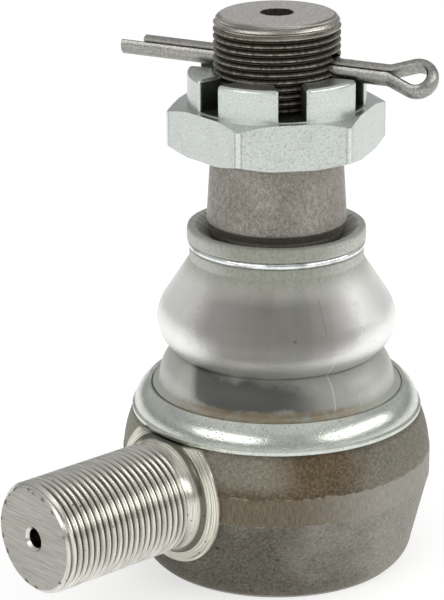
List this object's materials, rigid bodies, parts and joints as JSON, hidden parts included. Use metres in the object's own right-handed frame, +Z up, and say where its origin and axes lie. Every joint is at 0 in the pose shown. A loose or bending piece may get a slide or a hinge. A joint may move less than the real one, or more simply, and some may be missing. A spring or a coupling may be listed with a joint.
{
  "type": "tie rod end",
  "caption": "Ball joint with a threaded side shank, a tapered stud with castle nut and split pin, and a two-fold dust boot.",
  "frame": {"origin": "centre of the ball", "axes": "+Z up the stud's axis, +X out along the threaded shank"},
  "size_m": [0.1022, 0.0678, 0.1219],
  "materials": {
    "forged_steel": "forged and part machined",
    "stud_steel": "ground and oiled",
    "bearing_plastic": "moulded",
    "spring_steel": "blackened",
    "cover_steel": "zinc plated",
    "seal_rubber": "matt",
    "zinc_plate": "bright zinc",
    "boot_polyurethane": "milky, translucent",
    "bright_wire": "polished",
    "nut_zinc": "satin zinc",
    "pin_steel": "bare"
  },
  "bodies": {
    "root": {"housing": "forged_steel", "upper_bearing_shell": "bearing_plastic", "lower_bearing_shell": "bearing_plastic", "disc_spring": "spring_steel", "end_cover": "cover_steel", "cover_sealing_ring": "seal_rubber", "boot_clamp_ring": "zinc_plate"},
    "boot_fold": {"boot_lower_fold": "boot_polyurethane"},
    "boot_collar": {"boot_upper_fold": "boot_polyurethane", "boot_wire_ring": "bright_wire"},
    "stud": {"ball_stud": "stud_steel", "castle_nut": "nut_zinc", "split_pin": "pin_steel"}
  },
  "joints": [
    {"name": "tilt_x", "type": "hinge", "parent": "root", "child": "boot_fold", "pos_m": [0, 0, 0], "axis": [1, 0, 0], "range_deg": [-17, 17], "deforming": ["boot_lower_fold"]},
    {"name": "tilt_y", "type": "hinge", "parent": "boot_fold", "child": "boot_collar", "pos_m": [0, 0, 0], "axis": [0, 1, 0], "range_deg": [-17, 17], "deforming": ["boot_upper_fold"]},
    {"name": "stud_spin", "type": "hinge", "parent": "boot_collar", "child": "stud", "pos_m": [0, 0, 0], "axis": [0, 0, 1], "continuous": true}
  ]
}
